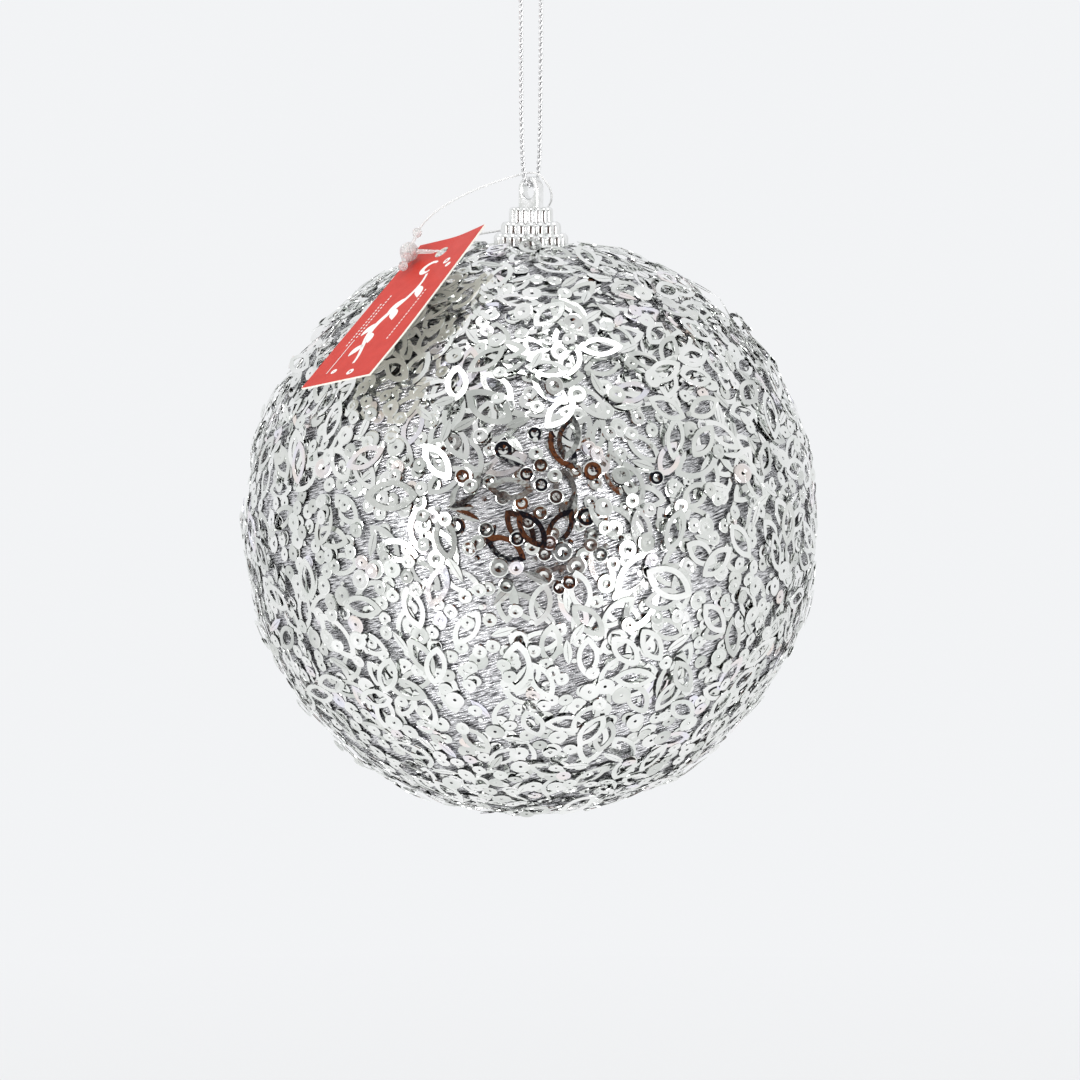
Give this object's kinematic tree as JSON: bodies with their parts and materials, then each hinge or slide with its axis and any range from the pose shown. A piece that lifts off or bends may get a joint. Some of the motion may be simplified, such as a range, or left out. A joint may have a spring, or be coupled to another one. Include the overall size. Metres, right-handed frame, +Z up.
{
  "type": "ball ornament",
  "caption": "Round hanging ornament covered in small silver sequins, with a fluted crown cap, a doubled cord loop and a blank card tag on a clear loop pin.",
  "frame": {"origin": "the point where a hook bears, under the top of the cord loop", "axes": "+Z up along the hanging cord, -Y towards the front, +X to the viewer's right"},
  "size_m": [0.1194, 0.1194, 0.2043],
  "materials": {
    "foam": "moulded bead foam, white",
    "metallic_thread": "twisted silver metallised thread",
    "sequin_film": "silver metallised film, mirror bright",
    "silvered_plastic": "vacuum-metallised silver, soft satin",
    "glue": "hot-melt glue, milky",
    "silver_cord": "twisted silver metallised cord",
    "tag_card": "coated card, printed coral red, cream cut edge",
    "clear_plastic": "clear moulded plastic"
  },
  "bodies": {
    "hanger": {"hanging_cord": "silver_cord", "cord_knot": "silver_cord"},
    "ball": {"foam_core": "foam", "thread_winding": "metallic_thread", "sequin_bed": "sequin_film", "cup_sequins": "sequin_film", "ring_sequins": "sequin_film", "leaf_sequins": "sequin_film", "dot_sequins": "sequin_film", "cap": "silvered_plastic", "hot_glue": "glue"},
    "tag_pin": {"tag_filament": "clear_plastic", "tag_lock": "clear_plastic", "tag_plug": "clear_plastic"},
    "tag": {"tag_card": "tag_card"}
  },
  "joints": [
    {"name": "ball_swing", "type": "hinge", "parent": "hanger", "child": "ball", "pos_m": [0, 0, -0.06105], "axis": [-0.5736, -0.8192, 0], "range_deg": [-30, 30]},
    {"name": "tag_lift", "type": "hinge", "parent": "ball", "child": "tag_pin", "pos_m": [0, 0, -0.062], "axis": [-0.7521, 0.6591, 0], "range_deg": [0, 60], "deforming": ["tag_filament"]},
    {"name": "tag_turn", "type": "hinge", "parent": "tag_pin", "child": "tag", "pos_m": [-0.018, -0.01978, -0.07413], "axis": [-0.5221, -0.3211, 0.7901], "range_deg": [-20, 20]}
  ]
}
